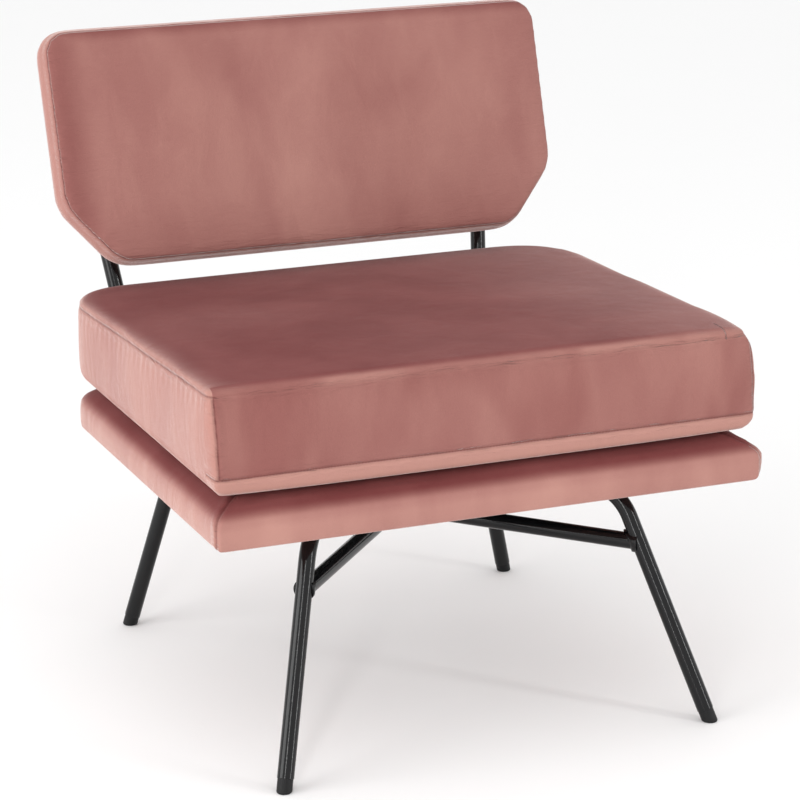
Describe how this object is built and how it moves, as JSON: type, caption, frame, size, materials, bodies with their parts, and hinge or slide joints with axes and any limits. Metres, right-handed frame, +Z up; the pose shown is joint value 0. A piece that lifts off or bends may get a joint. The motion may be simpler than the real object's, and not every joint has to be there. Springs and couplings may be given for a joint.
{
  "type": "armchair",
  "caption": "Armless easy chair with a velvet box cushion on a padded platform, an angular padded backrest on two rear posts, and splayed black tube legs with a crossed brace.",
  "frame": {"origin": "on the floor at the middle of the chair's bounding box", "axes": "+Z up, -Y towards the front of the seat, +X to the right as seen from the front"},
  "size_m": [0.664, 0.7123, 0.736],
  "materials": {
    "frame_paint": "satin-gloss black powder coat",
    "weld_paint": "satin-gloss black powder coat over weld beads",
    "glide_plastic": "moulded black plastic",
    "plug_plastic": "moulded black plastic",
    "spacer_plastic": "moulded black plastic",
    "zinc_screws": "black zinc plated",
    "zinc_nuts": "bright zinc plated",
    "staple_wire": "galvanised wire",
    "plywood": "raw plywood",
    "foam": "cut polyurethane foam",
    "velvet_top": "short-pile velvet",
    "velvet_side": "short-pile velvet",
    "velvet_back": "short-pile velvet",
    "velvet_deck": "short-pile velvet",
    "dust_cloth": "black non-woven",
    "zip_tape": "woven zip tape",
    "zip_coil": "nylon coil",
    "zip_metal": "plated zip hardware"
  },
  "bodies": {
    "chair": {"leg_front_left": "frame_paint", "leg_front_right": "frame_paint", "leg_back_left": "frame_paint", "leg_back_right": "frame_paint", "brace_long": "frame_paint", "brace_front_half": "frame_paint", "brace_back_half": "frame_paint", "post_left": "frame_paint", "post_right": "frame_paint", "plate_front_left": "frame_paint", "plate_front_right": "frame_paint", "plate_back_left": "frame_paint", "plate_back_right": "frame_paint", "plate_post_left": "frame_paint", "plate_post_right": "frame_paint", "brace_welds": "weld_paint", "glide_front_left": "glide_plastic", "glide_front_right": "glide_plastic", "glide_back_left": "glide_plastic", "glide_back_right": "glide_plastic", "post_cap_left": "plug_plastic", "post_cap_right": "plug_plastic", "arm_plugs": "plug_plastic", "back_spacers": "spacer_plastic", "deck_bolts": "zinc_screws", "deck_washers": "zinc_screws", "back_bolts": "zinc_screws", "back_washers": "zinc_screws", "deck_tee_nuts": "zinc_nuts", "back_tee_nuts": "zinc_nuts", "staples": "staple_wire", "deck_board": "plywood", "back_board": "plywood", "deck_foam": "foam", "back_foam": "foam", "back_wadding": "foam", "deck_cover": "velvet_deck", "dust_cloth": "dust_cloth", "back_front_panel": "velvet_back", "back_boxing": "velvet_back", "back_rear_panel": "velvet_back"},
    "cushion": {"cushion_foam": "foam", "cushion_top": "velvet_top", "cushion_bottom": "velvet_top", "cushion_front": "velvet_side", "cushion_left": "velvet_side", "cushion_right": "velvet_side", "cushion_back_lower": "velvet_side", "cushion_back_upper": "velvet_side", "zip_tape": "zip_tape", "zip_coil": "zip_coil"},
    "zip_slider": {"zip_slider": "zip_metal"},
    "zip_pull": {"zip_pull": "zip_metal"}
  },
  "joints": [
    {"name": "cushion_lift", "type": "slide", "parent": "chair", "child": "cushion", "axis": [0, -0.9397, 0.342], "range_m": [0, 0.4]},
    {"name": "zip_travel", "type": "slide", "parent": "cushion", "child": "zip_slider", "axis": [1, 0, 0], "range_m": [0, 0.39]},
    {"name": "pull_swing", "type": "hinge", "parent": "zip_slider", "child": "zip_pull", "pos_m": [-0.195, 0.2373, 0.386], "axis": [0, 0, 1], "range_deg": [0, 165]}
  ]
}
